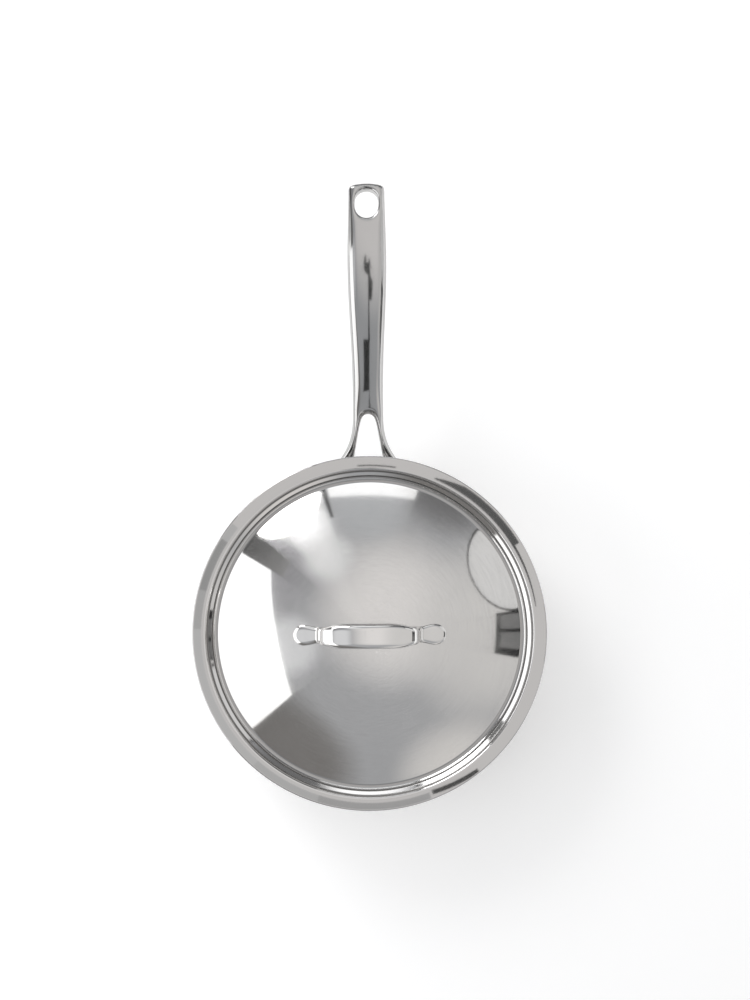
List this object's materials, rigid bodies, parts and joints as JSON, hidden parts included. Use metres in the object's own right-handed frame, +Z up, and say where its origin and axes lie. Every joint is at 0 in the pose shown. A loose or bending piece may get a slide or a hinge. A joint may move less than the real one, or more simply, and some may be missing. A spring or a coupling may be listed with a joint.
{
  "type": "saute pan with lid",
  "caption": "Covered saute pan in polished steel: straight-sided bowl on a heat-spreading base, forked cast handle with a hanging hole, and a domed strap-handled lid that lifts off.",
  "frame": {"origin": "centre of the pan's flat foot, on the axis of the bowl", "axes": "+Z up along the bowl's axis, +Y along the long handle, +X to the right with the handle pointing away; the lid's handle lies along X"},
  "size_m": [0.2606, 0.4563, 0.1195],
  "materials": {
    "bowl_steel": "fine circular satin",
    "core_aluminium": "mill",
    "base_steel": "turned satin",
    "handle_steel": "polished, faint lengthwise grain",
    "rivet_steel": "polished",
    "lid_steel": "polished, fine circular grain, satin flange",
    "lid_handle_steel": "mirror polished",
    "weld_steel": "as fused"
  },
  "bodies": {
    "pan": {"pan_bowl": "bowl_steel", "base_core": "core_aluminium", "base_cap": "base_steel", "long_handle": "handle_steel", "handle_rivets": "rivet_steel"},
    "lid": {"lid_shell": "lid_steel", "lid_handle": "lid_handle_steel", "lid_handle_welds": "weld_steel"}
  },
  "joints": [
    {"name": "lid_lift", "type": "slide", "parent": "pan", "child": "lid", "axis": [0, 0, 1], "range_m": [0, 0.2]}
  ]
}
